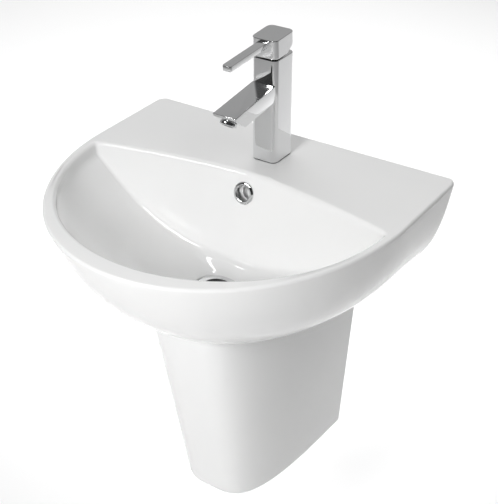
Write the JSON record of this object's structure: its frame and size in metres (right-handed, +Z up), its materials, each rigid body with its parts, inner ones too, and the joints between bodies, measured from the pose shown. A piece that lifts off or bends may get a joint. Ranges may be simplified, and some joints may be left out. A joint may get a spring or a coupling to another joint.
{
  "type": "wall-hung basin with semi-pedestal and mixer tap",
  "caption": "D-shaped white ceramic basin hung on the wall over a short shroud, with a square chrome lever mixer, click waste, bottle trap and angle valves.",
  "frame": {"origin": "on the wall plane, midway between the two hanger bolts of the basin", "axes": "+Z up, +Y into the wall, the room and the user on the -Y side, +X to the user's right"},
  "size_m": [0.5012, 0.5009, 0.6942],
  "materials": {
    "glaze": "white gloss glaze",
    "chrome": "polished chrome plate",
    "brass": "machined brass",
    "copper": "bright copper tube",
    "steel": "zinc-plated steel",
    "rubber": "black rubber",
    "white_plastic": "white polypropylene",
    "grey_plastic": "dark grey acetal",
    "disc": "lapped alumina",
    "indicator": "red and blue plug"
  },
  "bodies": {
    "fixtures": {"basin": "glaze", "semi_pedestal": "glaze", "overflow_ring": "chrome", "waste_body": "chrome", "trap_inlet_nut": "chrome", "trap_body": "chrome", "trap_cup": "chrome", "trap_outlet_nut": "chrome", "trap_outlet_pipe": "chrome", "trap_wall_flange": "chrome", "tap_body": "chrome", "aerator_housing": "chrome", "bonnet": "chrome", "hot_valve_body": "chrome", "cold_valve_body": "chrome", "hot_valve_cover": "chrome", "cold_valve_cover": "chrome", "waste_backnut": "brass", "waste_click_housing": "brass", "tap_stud": "brass", "tap_clamp_nut": "brass", "cartridge_nut": "brass", "hot_tail_nut": "brass", "cold_tail_nut": "brass", "hot_tail": "copper", "cold_tail": "copper", "waste_click_spring": "steel", "tap_clamp_plate": "steel", "basin_bolt_left": "steel", "basin_bolt_right": "steel", "basin_nut_left": "steel", "basin_nut_right": "steel", "pedestal_screw_left": "steel", "pedestal_screw_right": "steel", "waste_flange_seal": "rubber", "waste_cone_seal": "rubber", "trap_inlet_seal": "rubber", "trap_cup_seal": "rubber", "trap_outlet_seal": "rubber", "tap_base_gasket": "rubber", "tap_clamp_rubber": "rubber", "cartridge_base_seal": "rubber", "trap_dip_tube": "white_plastic", "cartridge_housing": "white_plastic", "basin_washer_left": "white_plastic", "basin_washer_right": "white_plastic", "aerator_insert": "grey_plastic", "cartridge_fixed_disc": "disc"},
    "cartridge_swivel": {"cartridge_rotor": "grey_plastic", "cartridge_pin": "steel"},
    "handle": {"tap_handle": "chrome", "cartridge_stem": "brass", "handle_screw": "steel", "handle_indicator": "indicator"},
    "mixing_disc": {"cartridge_moving_disc": "disc"},
    "plug": {"waste_plug": "rubber", "waste_plug_seal": "rubber", "waste_plug_stem": "brass"},
    "hot_knob": {"hot_valve_knob": "chrome"},
    "cold_knob": {"cold_valve_knob": "chrome"}
  },
  "joints": [
    {"name": "handle_swivel", "type": "hinge", "parent": "fixtures", "child": "cartridge_swivel", "pos_m": [0, -0.077, 0.247], "axis": [0, 0, 1], "range_deg": [-45, 45]},
    {"name": "handle_lift", "type": "hinge", "parent": "cartridge_swivel", "child": "handle", "pos_m": [0, -0.077, 0.247], "axis": [-1, 0, 0], "range_deg": [0, 22]},
    {"name": "disc_slide", "type": "slide", "parent": "cartridge_swivel", "child": "mixing_disc", "axis": [0, -1, 0], "range_m": [0, 0.007]},
    {"name": "plug_lift", "type": "slide", "parent": "fixtures", "child": "plug", "axis": [0, 0, 1], "range_m": [0, 0.008], "deforming": ["waste_click_spring"]},
    {"name": "hot_valve_turn", "type": "hinge", "parent": "fixtures", "child": "hot_knob", "pos_m": [-0.05, -0.068, -0.315], "axis": [0, -1, 0], "range_deg": [0, 90]},
    {"name": "cold_valve_turn", "type": "hinge", "parent": "fixtures", "child": "cold_knob", "pos_m": [0.05, -0.068, -0.315], "axis": [0, -1, 0], "range_deg": [0, 90]}
  ],
  "couplings": [
    {"joint": "disc_slide", "follows": "handle_lift", "m_per_rad": 0.0172}
  ]
}
